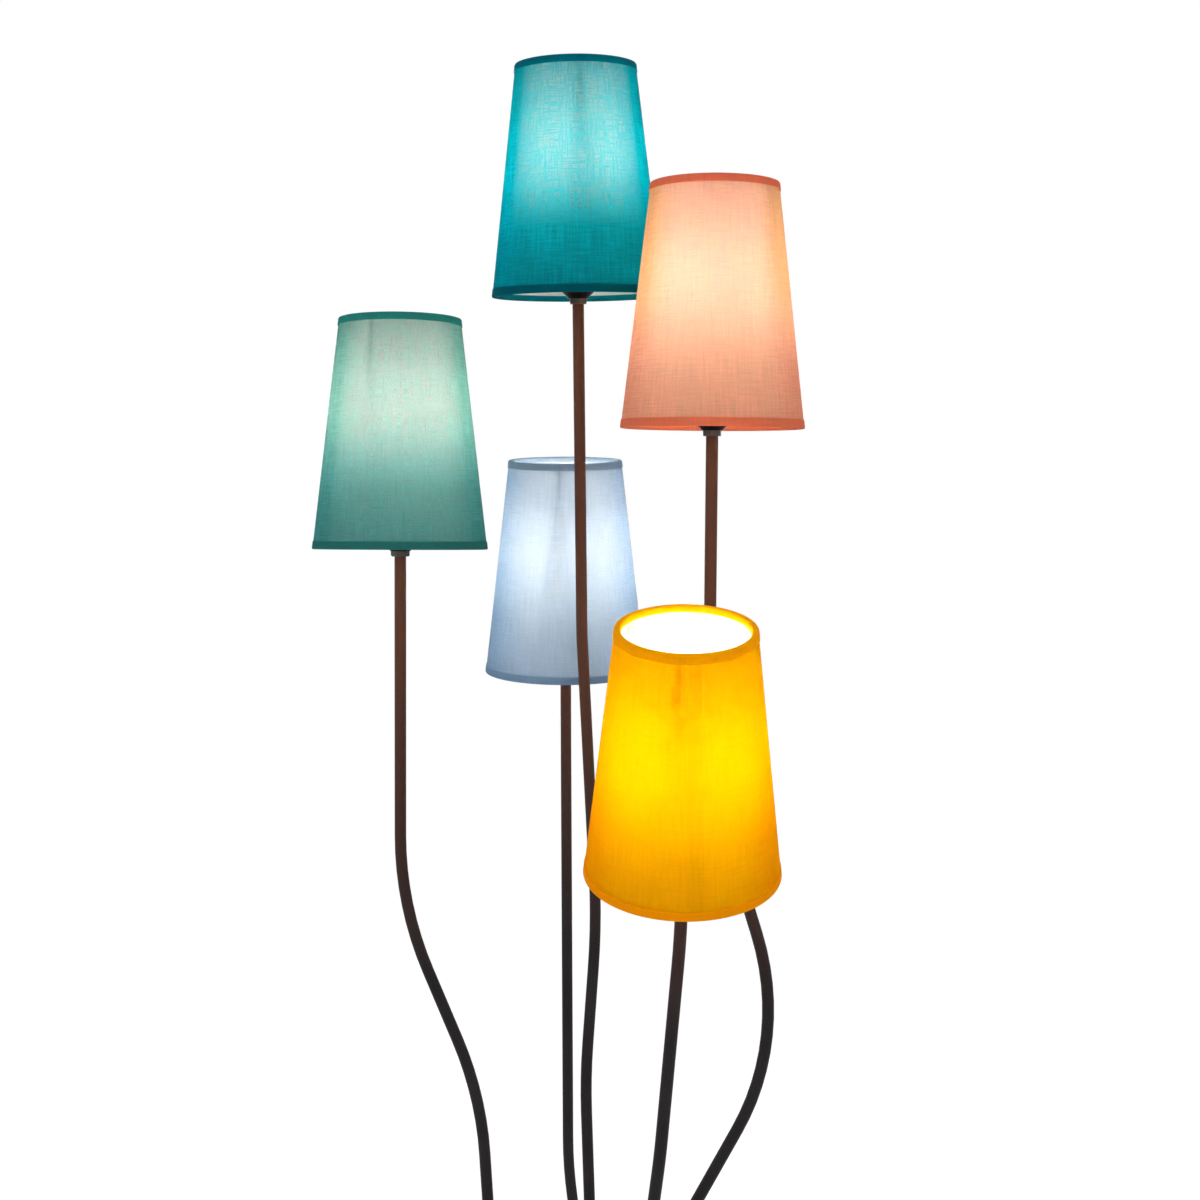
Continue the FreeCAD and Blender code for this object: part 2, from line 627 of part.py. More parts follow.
def shade_bands(colour):
    """Edge bands folded over the two hoops."""
    shoulder = "(shade_height - band_thick)"
    foot = "(shade_height - upper_band)"
    upper = turned(colour + "_upper_band", [
        (cone_radius(foot), foot),
        ("shade_top_dia / 2", "shade_height"),
        (upper_hoop + " - wire_dia", "shade_height"),
        (upper_hoop + " - wire_dia", shoulder),
        (cone_radius(shoulder) + " - band_thick", shoulder),
        (cone_radius(foot) + " - band_thick", foot)])
    lower = turned(colour + "_lower_band", [
        ("shade_bottom_dia / 2", "0"),
        (cone_radius("lower_band"), "lower_band"),
        (cone_radius("lower_band") + " - band_thick", "lower_band"),
        (cone_radius("band_thick") + " - band_thick", "band_thick"),
        (lower_hoop + " - wire_dia", "band_thick"),
        (lower_hoop + " - wire_dia", "0")])
    return group(colour + "_shade_bands", [upper, lower])


for colour, (right, back) in sockets.items():
    rise = number("teal_rise" if colour == "teal" else "side_rise")
    foot = Vector(right, back, 0) * number("socket_pitch")
    bends = [Vector(*[number("%s_bend_%s_%s" % (colour, letter, axis)) for axis in ("across", "back", "up")])
             for letter in "abc"]
    lamp = Vector(*[number("%s_lamp_%s" % (colour, axis)) for axis in ("across", "back", "up")])
    lean = (lamp - bends[-1]).normalize()
    points = [foot + up * (socket_floor + number("seat_gap")), foot + up * rise] + bends
    points.append(lamp + lean * number("stem_insert"))
    head = Placement(lamp, Rotation(up, lean) * Rotation(up, number(colour + "_spin")))
    below = Placement(lamp - lean * number("holder_drop + nut_thick"), head.Rotation)

    keep(stem(colour, points))
    keep(stem_nut(colour), below)
    for piece in (holder_cap, holder_sleeve, holder_core, shade_ring, bulb, shade_frame, shade_cloth, shade_bands):
        keep(piece(colour), head)

# ---- checks and export ----

doc.recompute()
for thing in doc.Objects:
    if "Invalid" in thing.State or "Error" in thing.State:
        raise RuntimeError(thing.Label + " failed to build")
for node in nodes:
    if node.Shape.isNull() or not node.Shape.isValid():
        raise RuntimeError(node.Label + " is not a valid solid")
for node in nodes:
    node.Shape.exportStep("parts/%s.step" % node.Label)
print("%d nodes, %d solids" % (len(nodes), sum(len(node.Shape.Solids) for node in nodes)))
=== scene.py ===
import math

import bmesh
import bpy
from mathutils import Matrix, Vector


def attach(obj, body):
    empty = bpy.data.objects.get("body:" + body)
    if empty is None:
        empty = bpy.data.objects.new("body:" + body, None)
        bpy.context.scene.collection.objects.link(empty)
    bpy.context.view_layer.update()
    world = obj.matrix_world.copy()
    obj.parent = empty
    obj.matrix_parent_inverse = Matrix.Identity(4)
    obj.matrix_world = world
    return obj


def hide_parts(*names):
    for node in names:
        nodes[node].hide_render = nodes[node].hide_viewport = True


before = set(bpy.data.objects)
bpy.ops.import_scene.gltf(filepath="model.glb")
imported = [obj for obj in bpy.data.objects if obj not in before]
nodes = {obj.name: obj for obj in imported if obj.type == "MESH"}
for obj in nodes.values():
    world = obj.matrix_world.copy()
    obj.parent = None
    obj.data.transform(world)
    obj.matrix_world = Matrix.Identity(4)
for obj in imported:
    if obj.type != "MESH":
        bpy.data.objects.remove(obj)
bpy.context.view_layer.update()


def material(name):
    """New node material; returns it with its node tree and its Principled shader."""
    made = bpy.data.materials.new(name)
    made.use_nodes = True
    return made, made.node_tree, made.node_tree.nodes["Principled BSDF"]


def add(tree, kind, inputs=None, **settings):
    """New node of a tree; inputs are plain values or sockets to link."""
    node = tree.nodes.new("ShaderNode" + kind)
    for key, value in settings.items():
        setattr(node, key, value)
    for key, value in (inputs or {}).items():
        if isinstance(value, bpy.types.NodeSocket):
            tree.links.new(value, node.inputs[key])
        else:
            node.inputs[key].default_value = value
    return node


def group(name, inputs, outputs):
    """New shader node group of number sockets; inputs have a name and a value."""
    tree = bpy.data.node_groups.new(name, "ShaderNodeTree")
    for label, value in inputs:
        socket = tree.interface.new_socket(label, in_out="INPUT", socket_type="NodeSocketFloat")
        socket.default_value = value
    for label in outputs:
        tree.interface.new_socket(label, in_out="OUTPUT", socket_type="NodeSocketFloat")
    return tree, tree.nodes.new("NodeGroupInput"), tree.nodes.new("NodeGroupOutput")


# Grain: fine bumps on broad, faint clouds, for paint, castings and moulded plastic
grain, inside, out = group("Grain", [("Size", 0.001), ("Clouds", 0.03)], ["Height", "Cloud"])
place = add(grain, "TexCoord")
bump_scale = add(grain, "Math", {0: 1.0, 1: inside.outputs["Size"]}, operation="DIVIDE")
cloud_scale = add(grain, "Math", {0: 1.0, 1: inside.outputs["Clouds"]}, operation="DIVIDE")
bumps = add(grain, "TexNoise", {"Vector": place.outputs["Object"],
                                "Scale": bump_scale.outputs[0], "Detail": 3.0})
clouds = add(grain, "TexNoise", {"Vector": place.outputs["Object"],
                                 "Scale": cloud_scale.outputs[0], "Detail": 2.0})
grain.links.new(bumps.outputs[0], out.inputs["Height"])
grain.links.new(clouds.outputs[0], out.inputs["Cloud"])
cloud_from, cloud_to = 0.35, 0.65


def grained(name, dark, light, rough, size, depth, clouds=0.03, constants=None):
    """Material whose colour and roughness drift between two values over a fine grain.
    Constants are values for the shader's own sockets."""
    made, tree, shader = material(name)
    pattern = add(tree, "Group", node_tree=grain)
    pattern.inputs["Size"].default_value = size
    pattern.inputs["Clouds"].default_value = clouds
    tone = add(tree, "MapRange", {"Value": pattern.outputs["Cloud"], "From Min": cloud_from,
                                  "From Max": cloud_to})
    mix = add(tree, "Mix", {"Factor": tone.outputs[0], "A": (*dark, 1), "B": (*light, 1)},
              data_type="RGBA")
    sheen = add(tree, "MapRange", {"Value": pattern.outputs["Cloud"], "From Min": cloud_from,
                                   "From Max": cloud_to, "To Min": rough[0], "To Max": rough[1]})
    bump = add(tree, "Bump", {"Height": pattern.outputs["Height"], "Distance": depth,
                              "Strength": 0.5})
    tree.links.new(mix.outputs[2], shader.inputs["Base Color"])
    tree.links.new(sheen.outputs[0], shader.inputs["Roughness"])
    tree.links.new(bump.outputs[0], shader.inputs["Normal"])
    for socket, value in (constants or {}).items():
        shader.inputs[socket].default_value = value
    return made


def finish_node(name, made):
    """Give a CAD node its material."""
    mesh = nodes[name].data
    mesh.materials.clear()
    mesh.materials.append(made)


felt = grained("pressed felt", dark=(0.012, 0.012, 0.013), light=(0.03, 0.03, 0.032),
               rough=(0.92, 1.0), size=0.0007, depth=0.0006, constants={"Sheen Weight": 0.4})
casting = grained("raw casting", dark=(0.05, 0.05, 0.053), light=(0.09, 0.088, 0.085),
                  rough=(0.55, 0.75), size=0.0016, depth=0.0006, constants={"Metallic": 0.6})
zinc = grained("zinc plate", dark=(0.46, 0.46, 0.45), light=(0.62, 0.61, 0.58),
               rough=(0.28, 0.45), size=0.0005, depth=0.00005, clouds=0.008,
               constants={"Metallic": 1.0})
finish_node("felt_pad", felt)
finish_node("base_weight", casting)
finish_node("service_plate", zinc)
finish_node("hub_bolts", zinc)

# ---- Cord gland and terminal block ----
# The gland is a black moulded bush in the cover's rear wall, held by a nut inside.
# The terminal block in the wiring space joins the flexes; it is a pale plastic moulding.
gland_black = grained("gland plastic", dark=(0.012, 0.012, 0.012), light=(0.02, 0.02, 0.02),
                      rough=(0.42, 0.52), size=0.0004, depth=0.00005)
terminal_white = grained("terminal plastic", dark=(0.70, 0.70, 0.66), light=(0.78, 0.78, 0.74),
                         rough=(0.35, 0.45), size=0.0006, depth=0.00004)
finish_node("cord_gland", gland_black)
finish_node("gland_nut", gland_black)
finish_node("terminal_block", terminal_white)

# ---- Spun cover, hub and stems ----
# Steel, in one charcoal brown powder coat with a faint orange peel; grub screws zinc-plated.
# The cover is spun, the hub turned, and each stem is a tube bent cold between straight runs.
# Towards the lampholders the coat is painted browner with height, as painted warm lamp light.
colours = ("teal", "orange", "green", "blue", "yellow")
painted_lamp_light = (0.095, 0.040, 0.025)
lamp_light_from, lamp_light_to = 0.82, 1.12
coat = grained("charcoal powder coat", dark=(0.016, 0.014, 0.016), light=(0.022, 0.019, 0.021),
               rough=(0.40, 0.50), size=0.0009, depth=0.00005, clouds=0.05,
               constants={"Specular IOR Level": 0.06})
tree = coat.node_tree
coat_colour = tree.nodes["Principled BSDF"].inputs["Base Color"]
plain = coat_colour.links[0].from_socket
# Painted lamp light: the coat's colour is mixed towards a warm brown with height
where = add(tree, "TexCoord")
apart = add(tree, "SeparateXYZ", {"Vector": where.outputs["Object"]})
height = add(tree, "MapRange", {"Value": apart.outputs["Z"], "From Min": lamp_light_from,
                                "From Max": lamp_light_to})
lamp_lit_coat = add(tree, "Mix", {"Factor": height.outputs[0], "A": plain, "B": (*painted_lamp_light, 1)},
             data_type="RGBA")
tree.links.new(lamp_lit_coat.outputs[2], coat_colour)
for name in ("base_cover", "hub"):
    finish_node(name, coat)
finish_node("grub_screws", zinc)
for colour in colours:
    finish_node(colour + "_stem", coat)

# ---- Stem nuts and lampholder caps ----
# A hexagonal nut locks each lampholder's flared metal cap on its stem; the cap is coated
# almost black and the nut is left browner.
cap_coat = grained("cap coat", dark=(0.004, 0.0035, 0.0035), light=(0.006, 0.0055, 0.0055),
                   rough=(0.30, 0.42), size=0.0008, depth=0.00004,
                   constants={"Specular IOR Level": 0.03})
nut_coat = grained("nut coat", dark=(0.026, 0.018, 0.014), light=(0.040, 0.027, 0.020),
                   rough=(0.30, 0.42), size=0.0008, depth=0.00004)
for colour in colours:
    finish_node(colour + "_stem_nut", nut_coat)
    finish_node(colour + "_holder_cap", cap_coat)

# ---- Lampholder sleeves, cores and shade rings ----
# Black moulded sleeve with a collar for the shade's fitter and a coarse thread for the ribbed
# ring above it, round a glazed ceramic core with the socket for the bulb's cap.
holder_black = grained("holder plastic", dark=(0.010, 0.010, 0.010), light=(0.017, 0.016, 0.015),
                       rough=(0.30, 0.42), size=0.0005, depth=0.00003)
ceramic = grained("glazed ceramic", dark=(0.72, 0.70, 0.64), light=(0.80, 0.78, 0.73),
                  rough=(0.12, 0.22), size=0.0015, depth=0.00004)
# Each head's own frame: its shade's seat, the stem's last bend, which it leans away from,
# and its turn about its own axis in degrees
heads = {}
for colour, seat, bend, spin in (
        ("teal", (-0.019, 0.080, 1.404), (-0.016, 0.080, 1.107), 35),
        ("orange", (0.091, -0.036, 1.292), (0.089, -0.048, 1.008), 80),
        ("green", (-0.171, 0.035, 1.188), (-0.172, 0.012, 0.882), 10),
        ("blue", (-0.032, 0.164, 1.064), (-0.032, 0.166, 1.000), 25),
        ("yellow", (0.062, -0.175, 0.961), (0.062, -0.163, 0.912), 22)):
    lean = Vector(seat) - Vector(bend)
    upright = Vector((0, 0, 1)).rotation_difference(lean).to_matrix().to_4x4()
    turned = Matrix.Rotation(math.radians(spin), 4, "Z")
    heads[colour] = Matrix.Translation(seat) @ upright @ turned


def lathe(profile, steps):
    """Bmesh of a profile of (radius, height) points spun about Z."""
    bm = bmesh.new()
    points = [bm.verts.new((radius, 0, level)) for radius, level in profile]
    edges = [bm.edges.new(pair) for pair in zip(points, points[1:])]
    bmesh.ops.spin(bm, geom=points + edges, cent=(0, 0, 0), axis=(0, 0, 1), angle=2 * math.pi,
                   steps=steps, use_merge=True)
    bmesh.ops.remove_doubles(bm, verts=bm.verts, dist=1e-6)
    bmesh.ops.recalc_face_normals(bm, faces=bm.faces)
    return bm


def piece(bm, name, colour, finishes, stands_for=(), sharp=30):
    """Object of a finished bmesh in a head's own frame, riding on its arm."""
    bmesh.ops.transform(bm, matrix=heads[colour], verts=bm.verts)
    mesh = bpy.data.meshes.new(name)
    bm.to_mesh(mesh)
    bm.free()
    for finish in finishes:
        mesh.materials.append(finish)
    mesh.shade_smooth()
    mesh.set_sharp_from_angle(angle=math.radians(sharp))
    shown = bpy.data.objects.new(name, mesh)
    bpy.context.scene.collection.objects.link(shown)
    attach(shown, colour + "_arm")
    if stands_for:
        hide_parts(*stands_for)
    return shown


# Sleeve, from its spigot in the cap up: a floor with a throat, the body, the collar, the thread
throat_radius, spigot_radius, body_radius, collar_radius = 0.008, 0.01195, 0.014, 0.016
sleeve_foot, sleeve_floor, spigot_top = 0.0085, 0.0105, 0.0165
collar_foot, collar_top = 0.0395, 0.0440
collar_edge, rim_in, rim_down = 0.0005, 0.0003, 0.0004
sleeve_bore, sleeve_top, mouth_radius = 0.010, 0.074, 0.0125
thread_start, thread_end, thread_pitch = 0.0445, 0.0735, 0.0025
thread_radius, thread_depth, thread_flank = 0.0135, 0.0006, 0.35
thread_root = thread_radius - thread_depth
sleeve_profile = [
    (sleeve_bore, sleeve_floor), (throat_radius, sleeve_floor), (throat_radius, sleeve_foot),
    (spigot_radius, sleeve_foot), (spigot_radius, spigot_top), (body_radius, spigot_top),
    (body_radius, collar_foot), (collar_radius - collar_edge, collar_foot + collar_edge),
    (collar_radius, collar_foot + 2 * collar_edge), (collar_radius, collar_top - rim_down),
    (collar_radius - rim_in, collar_top), (thread_root, collar_top)]
level = thread_start
while level + thread_pitch <= thread_end:
    sleeve_profile += [(thread_root, level), (thread_radius, level + thread_flank * thread_pitch),
                       (thread_radius, level + (1 - thread_flank) * thread_pitch),
                       (thread_root, level + thread_pitch)]
    level += thread_pitch
sleeve_profile += [(mouth_radius, sleeve_top), (sleeve_bore, sleeve_top),
                   (sleeve_bore, sleeve_floor)]

# Ring, with moulded ribs for the fingers round its edge
ring_foot, ring_top, ring_bore, ring_outside, ring_edge = 0.046, 0.053, 0.01355, 0.018, 0.0012
ring_ribs, rib_steps, rib_depth = 36, 4, 0.0005
ring_profile = [(ring_bore, ring_foot), (ring_outside, ring_foot),
                (ring_outside, ring_top - ring_edge), (ring_outside - ring_edge, ring_top),
                (ring_bore, ring_top), (ring_bore, ring_foot)]
for colour in colours:
    piece(lathe(sleeve_profile, steps=64), colour + "_sleeve", colour,
          [holder_black], [colour + "_holder_sleeve"])
    finish_node(colour + "_holder_core", ceramic)
    ring = lathe(ring_profile, steps=ring_ribs * rib_steps)
    for vert in ring.verts:
        if vert.co.xy.length > ring_outside - ring_edge / 2:
            angle = math.atan2(vert.co.y, vert.co.x)
            dip = rib_depth * (0.5 + 0.5 * math.cos(angle * ring_ribs))
            vert.co.xy *= 1 - dip / ring_outside
    piece(ring, colour + "_ribbed_ring", colour, [holder_black],
          [colour + "_shade_ring"])

# ---- Bulbs ----
# Opal candle bulbs of warm white light: a blown glass envelope that closes to a small tip,
# cemented in a nickel-plated cap with a rolled thread. The tip glows brighter than the foot.
bulb_light = (1.0, 0.92, 0.80)
bulb_strength, foot_glow, tip_glow = 44.0, 0.7, 1.8
opal, tree, shader = material("lit opal glass")
shader.inputs["Base Color"].default_value = (0.9, 0.88, 0.82, 1)
shader.inputs["Roughness"].default_value = 0.25
where = add(tree, "TexCoord")
glow = add(tree, "TexNoise", {"Vector": where.outputs["Object"], "Scale": 60.0, "Detail": 1.0})
along = add(tree, "Attribute", attribute_name="Along")
graded = add(tree, "MapRange", {"Value": along.outputs["Fac"], "To Min": foot_glow,
                                "To Max": tip_glow})
mottled = add(tree, "MapRange", {"Value": glow.outputs[0], "To Min": 0.9, "To Max": 1.1})
both = add(tree, "Math", {0: mottled.outputs[0], 1: graded.outputs[0]}, operation="MULTIPLY")
tint = add(tree, "Mix", {"Factor": 1.0, "A": (*bulb_light, 1), "B": both.outputs[0]},
           data_type="RGBA", blend_type="MULTIPLY")
tree.links.new(tint.outputs[2], shader.inputs["Emission Color"])
shader.inputs["Emission Strength"].default_value = bulb_strength
nickel = grained("nickel cap", dark=(0.55, 0.52, 0.47), light=(0.68, 0.65, 0.60),
                 rough=(0.18, 0.30), size=0.0006, depth=0.00003, clouds=0.006,
                 constants={"Metallic": 1.0})

# Envelope: a quarter wave from the neck to the belly, then a rounded crown up to the tip
cap_end, neck_radius = 0.074, 0.0085
glass_belly, glass_top, glass_radius = 0.108, 0.152, 0.018
belly_steps, crown_steps, crown_round, crown_rise = 8, 12, 0.85, 0.94
envelope = [(0.0, cap_end)]
for i in range(belly_steps + 1):
    share = i / belly_steps
    envelope.append((neck_radius + (glass_radius - neck_radius) * math.sin(share * math.pi / 2),
                     cap_end + (glass_belly - cap_end) * share))
for i in range(1, crown_steps):
    share = i / crown_steps
    envelope.append((glass_radius * math.cos(share * math.pi / 2) ** crown_round,
                     glass_belly + (glass_top - glass_belly) * share ** crown_rise))
envelope.append((0.0, glass_top))

# Cap: contact, insulator, shell and rolled thread
cap_foot, cap_radius, cap_pitch, cap_groove = 0.047, 0.007, 0.0028, 0.0007
contact_radius, insulator, shell_foot = 0.0025, (0.0045, 0.0030), (0.0062, 0.0045)
cap_thread_in, cap_neck = 0.005, 0.004
cap_profile = [(0.0, cap_foot), (contact_radius, cap_foot),
               (insulator[0], cap_foot + insulator[1]), (shell_foot[0], cap_foot + shell_foot[1])]
level = cap_foot + cap_thread_in
while level < cap_end - cap_thread_in:
    cap_profile += [(cap_radius - cap_groove, level), (cap_radius, level + cap_pitch / 2)]
    level += cap_pitch
cap_profile += [(cap_radius, cap_end - cap_neck), (cap_radius, cap_end), (0.0, cap_end)]
for colour in colours:
    glass = lathe(envelope, steps=48)
    share_along = glass.verts.layers.float.new("Along")
    for vert in glass.verts:
        vert[share_along] = (vert.co.z - cap_end) / (glass_top - cap_end)
    piece(glass, colour + "_bulb_glass", colour, [opal], [colour + "_bulb"],
          sharp=50)
    piece(lathe(cap_profile, steps=40), colour + "_bulb_cap", colour, [nickel])

# ---- Shade frames ----
# Round steel wire with a white coating: a ring rests on the lampholder's collar, three cranked
# arms rise from it to the upper hoop, and a second hoop stiffens the lower edge. All are welded.
white_wire = grained("white coated wire", dark=(0.74, 0.74, 0.72), light=(0.82, 0.82, 0.80),
                     rough=(0.35, 0.45), size=0.0008, depth=0.00004)
wire_radius, wire_sides, hoop_steps = 0.0012, 12, 96
fitter_level, fitter_bore, fitter_radius = 0.045, 0.0139, 0.020
fitter_half, fitter_round, arm_overlap = 0.001, 0.0002, 0.001
upper_radius, upper_level = 0.04935, 0.1946
lower_radius, lower_level = 0.07174, 0.0019
arms, crank_radius, crank_bend, bend_steps = 3, 0.028, 0.006, 6


def wire_along(bm, points):
    """Round wire along a list of points, by extruding a circle from one to the next."""
    circle = bmesh.ops.create_circle(bm, segments=wire_sides, radius=wire_radius)["verts"]
    aim = (points[1] - points[0]).to_track_quat("Z", "Y").to_matrix().to_4x4()
    bmesh.ops.transform(bm, matrix=Matrix.Translation(points[0]) @ aim, verts=circle)
    rim = list({edge for vert in circle for edge in vert.link_edges})
    heading = (points[1] - points[0]).normalized()
    for here, there, beyond in zip(points, points[1:], [*points[2:], None]):
        following = (beyond - there).normalized() if beyond else (there - here).normalized()
        new = bmesh.ops.extrude_edge_only(bm, edges=rim)["geom"]
        moved = [part for part in new if isinstance(part, bmesh.types.BMVert)]
        bend = heading.rotation_difference(following).to_matrix().to_4x4()
        swing = Matrix.Translation(there) @ bend @ Matrix.Translation(-here)
        bmesh.ops.transform(bm, matrix=swing, verts=moved)
        rim = [part for part in new if isinstance(part, bmesh.types.BMEdge)
               and all(vert in moved for vert in part.verts)]
        heading = following


# One arm's middle line: out from the fitter ring, round the crank, up to the hoop
rise = Vector((upper_radius - crank_radius, 0, upper_level - fitter_level))
climb = rise.normalized()
reach = crank_bend * math.tan((math.pi / 2 - math.atan2(climb.x, climb.z)) / 2)
corner = Vector((crank_radius, 0, fitter_level))
bend_start, bend_end = corner - Vector((reach, 0, 0)), corner + climb * reach
arm = [Vector((fitter_radius - arm_overlap, 0, fitter_level)), bend_start]
for i in range(1, bend_steps + 1):
    share = i / bend_steps
    arm.append((1 - share) ** 2 * bend_start + 2 * share * (1 - share) * corner
               + share ** 2 * bend_end)
arm.append(corner + rise * (1 - wire_radius / rise.length))
fitter_foot, fitter_top = fitter_level - fitter_half, fitter_level + fitter_half
fitter_profile = [
    (fitter_bore, fitter_foot + fitter_round), (fitter_bore + fitter_round, fitter_foot),
    (fitter_radius - fitter_round, fitter_foot), (fitter_radius, fitter_foot + fitter_round),
    (fitter_radius, fitter_top - fitter_round), (fitter_radius - fitter_round, fitter_top),
    (fitter_bore + fitter_round, fitter_top), (fitter_bore, fitter_top - fitter_round),
    (fitter_bore, fitter_foot + fitter_round)]
for colour in colours:
    frame_wire = bmesh.new()
    for radius, level in ((upper_radius, upper_level), (lower_radius, lower_level)):
        circle = bmesh.ops.create_circle(frame_wire, segments=wire_sides,
                                         radius=wire_radius)["verts"]
        stand = Matrix.Translation((radius, 0, level)) @ Matrix.Rotation(math.pi / 2, 4, "X")
        bmesh.ops.transform(frame_wire, matrix=stand, verts=circle)
        rim = list({edge for vert in circle for edge in vert.link_edges})
        bmesh.ops.spin(frame_wire, geom=circle + rim, cent=(0, 0, 0), axis=(0, 0, 1),
                       angle=2 * math.pi, steps=hoop_steps, use_merge=True)
    for i in range(arms):
        turn = Matrix.Rotation(2 * math.pi * i / arms, 4, "Z")
        wire_along(frame_wire, [turn @ point for point in arm])
    piece(frame_wire, colour + "_frame_wire", colour, [white_wire],
          [colour + "_shade_frame"], sharp=60)
    piece(lathe(fitter_profile, steps=64), colour + "_fitter_ring", colour,
          [white_wire])

# ---- Shade cloths ----
# Slubbed, corded weave laminated on a white liner, rolled to a cone and glued where its end laps
# its start. The cords stand proud, so the paler ground between them shows where the shade faces
# the eye and hides at its sides. The lit bulb shines through.
lap, lap_edge, lap_shade = 0.011, 0.0003, 0.965
glare_from, glare_to = 0.055, 0.112
slub_from, slub_to, slub_cover = 0.54, 0.42, 0.95
crossing_relief = 0.35
weave, inside, out = group("Slub weave", [("Pitch", 0.0006), ("Slub", 0.3)],
                           ["Height", "Shade", "Hot", "Crossed"])
flat = add(weave, "UVMap", uv_map="Strip")
apart = add(weave, "SeparateXYZ", {"Vector": flat.outputs["UV"]})
count = add(weave, "Math", {0: 2 * math.pi, 1: inside.outputs["Pitch"]}, operation="DIVIDE")
waves = []
streaks = []
for axis, stretch, fineness in (("X", (0.05, 1.0, 1.0), 850.0), ("Y", (1.0, 0.06, 1.0), 560.0)):
    phase = add(weave, "Math", {0: apart.outputs[axis], 1: count.outputs[0]},
                operation="MULTIPLY")
    waves.append(add(weave, "Math", {0: phase.outputs[0]}, operation="SINE"))
    stretched = add(weave, "VectorMath", {0: flat.outputs["UV"], 1: stretch},
                    operation="MULTIPLY")
    streaks.append(add(weave, "TexNoise", {"Vector": stretched.outputs[0], "Scale": fineness,
                                           "Detail": 3.0, "Roughness": 0.65},
                       noise_dimensions="2D"))
# Height of the threads, and the light that slubs hold back
crossing = add(weave, "Math", {0: waves[0].outputs[0], 1: waves[1].outputs[0]},
               operation="MULTIPLY")
slubs = add(weave, "Math", {0: streaks[0].outputs[0], 1: streaks[1].outputs[0]}, operation="ADD")
relief = add(weave, "Math", {0: crossing.outputs[0], 1: crossing_relief, 2: slubs.outputs[0]},
             operation="MULTIPLY_ADD")
centred = add(weave, "Math", {0: slubs.outputs[0], 1: 1.0}, operation="SUBTRACT")
held_back = add(weave, "Math", {0: centred.outputs[0], 1: inside.outputs["Slub"]},
                operation="MULTIPLY")
let_through = add(weave, "Math", {0: 1.0, 1: held_back.outputs[0]}, operation="SUBTRACT")
# The lap at the strip's end passes less light
lapped = add(weave, "MapRange", {"Value": apart.outputs["X"], "From Min": lap - lap_edge,
                                 "From Max": lap + lap_edge, "To Min": lap_shade, "To Max": 1.0})
shaded = add(weave, "Math", {0: let_through.outputs[0], 1: lapped.outputs[0]},
             operation="MULTIPLY")
# Share of the glare beside the bulb, by height on the strip
glare = add(weave, "MapRange", {"Value": apart.outputs["Y"], "From Min": glare_from,
                                "From Max": glare_to})
# Slubs, thick places of warp and weft, that cover the ground
thick = [add(weave, "MapRange", {"Value": streak.outputs[0], "From Min": slub_from,
                                 "From Max": slub_to}) for streak in streaks]
thickest = add(weave, "Math", {0: thick[0].outputs[0], 1: thick[1].outputs[0]},
               operation="MAXIMUM")
amount = add(weave, "Math", {0: inside.outputs["Slub"], 1: slub_cover}, operation="MULTIPLY")
covered = add(weave, "Math", {0: thickest.outputs[0], 1: amount.outputs[0]},
              operation="MULTIPLY")
weave.links.new(relief.outputs[0], out.inputs["Height"])
weave.links.new(shaded.outputs[0], out.inputs["Shade"])
weave.links.new(glare.outputs[0], out.inputs["Hot"])
weave.links.new(covered.outputs[0], out.inputs["Crossed"])


def lit_tone(tree, threads, low, hot):
    """Colour in which light passes: low on the shade, and hot by the bulb."""
    return add(tree, "Mix", {"Factor": threads.outputs["Hot"], "A": (*low, 1), "B": (*hot, 1)},
               data_type="RGBA").outputs[2]


def cloth(name, seen, lit, slub, share=0.5, crossing=None):
    """Matt weave in the seen colour that passes a share of the light in its lit pair of
    colours. Slubs in a crossing pair may lie over it."""
    made, tree, shader = material(name)
    threads = add(tree, "Group", node_tree=weave)
    threads.inputs["Slub"].default_value = slub
    through = lit_tone(tree, threads, *lit)
    if crossing:
        over = lit_tone(tree, threads, *crossing)
        through = add(tree, "Mix", {"Factor": threads.outputs["Crossed"], "A": through,
                                    "B": over}, data_type="RGBA").outputs[2]
    surface, passed = [
        add(tree, "Mix", {"Factor": 1.0, "A": tone, "B": threads.outputs["Shade"]},
            data_type="RGBA", blend_type="MULTIPLY").outputs[2]
        for tone in ((*seen, 1), through)]
    bump = add(tree, "Bump", {"Height": threads.outputs["Height"], "Distance": 0.0002,
                              "Strength": 0.6})
    tree.links.new(surface, shader.inputs["Base Color"])
    tree.links.new(bump.outputs[0], shader.inputs["Normal"])
    shader.inputs["Roughness"].default_value = 0.9
    shader.inputs["Specular IOR Level"].default_value = 0.05
    passing = add(tree, "BsdfTranslucent", {"Color": passed, "Normal": bump.outputs[0]})
    both = add(tree, "MixShader", {0: share, 1: shader.outputs[0], 2: passing.outputs[0]})
    tree.links.new(both.outputs[0], tree.nodes["Material Output"].inputs["Surface"])
    return made


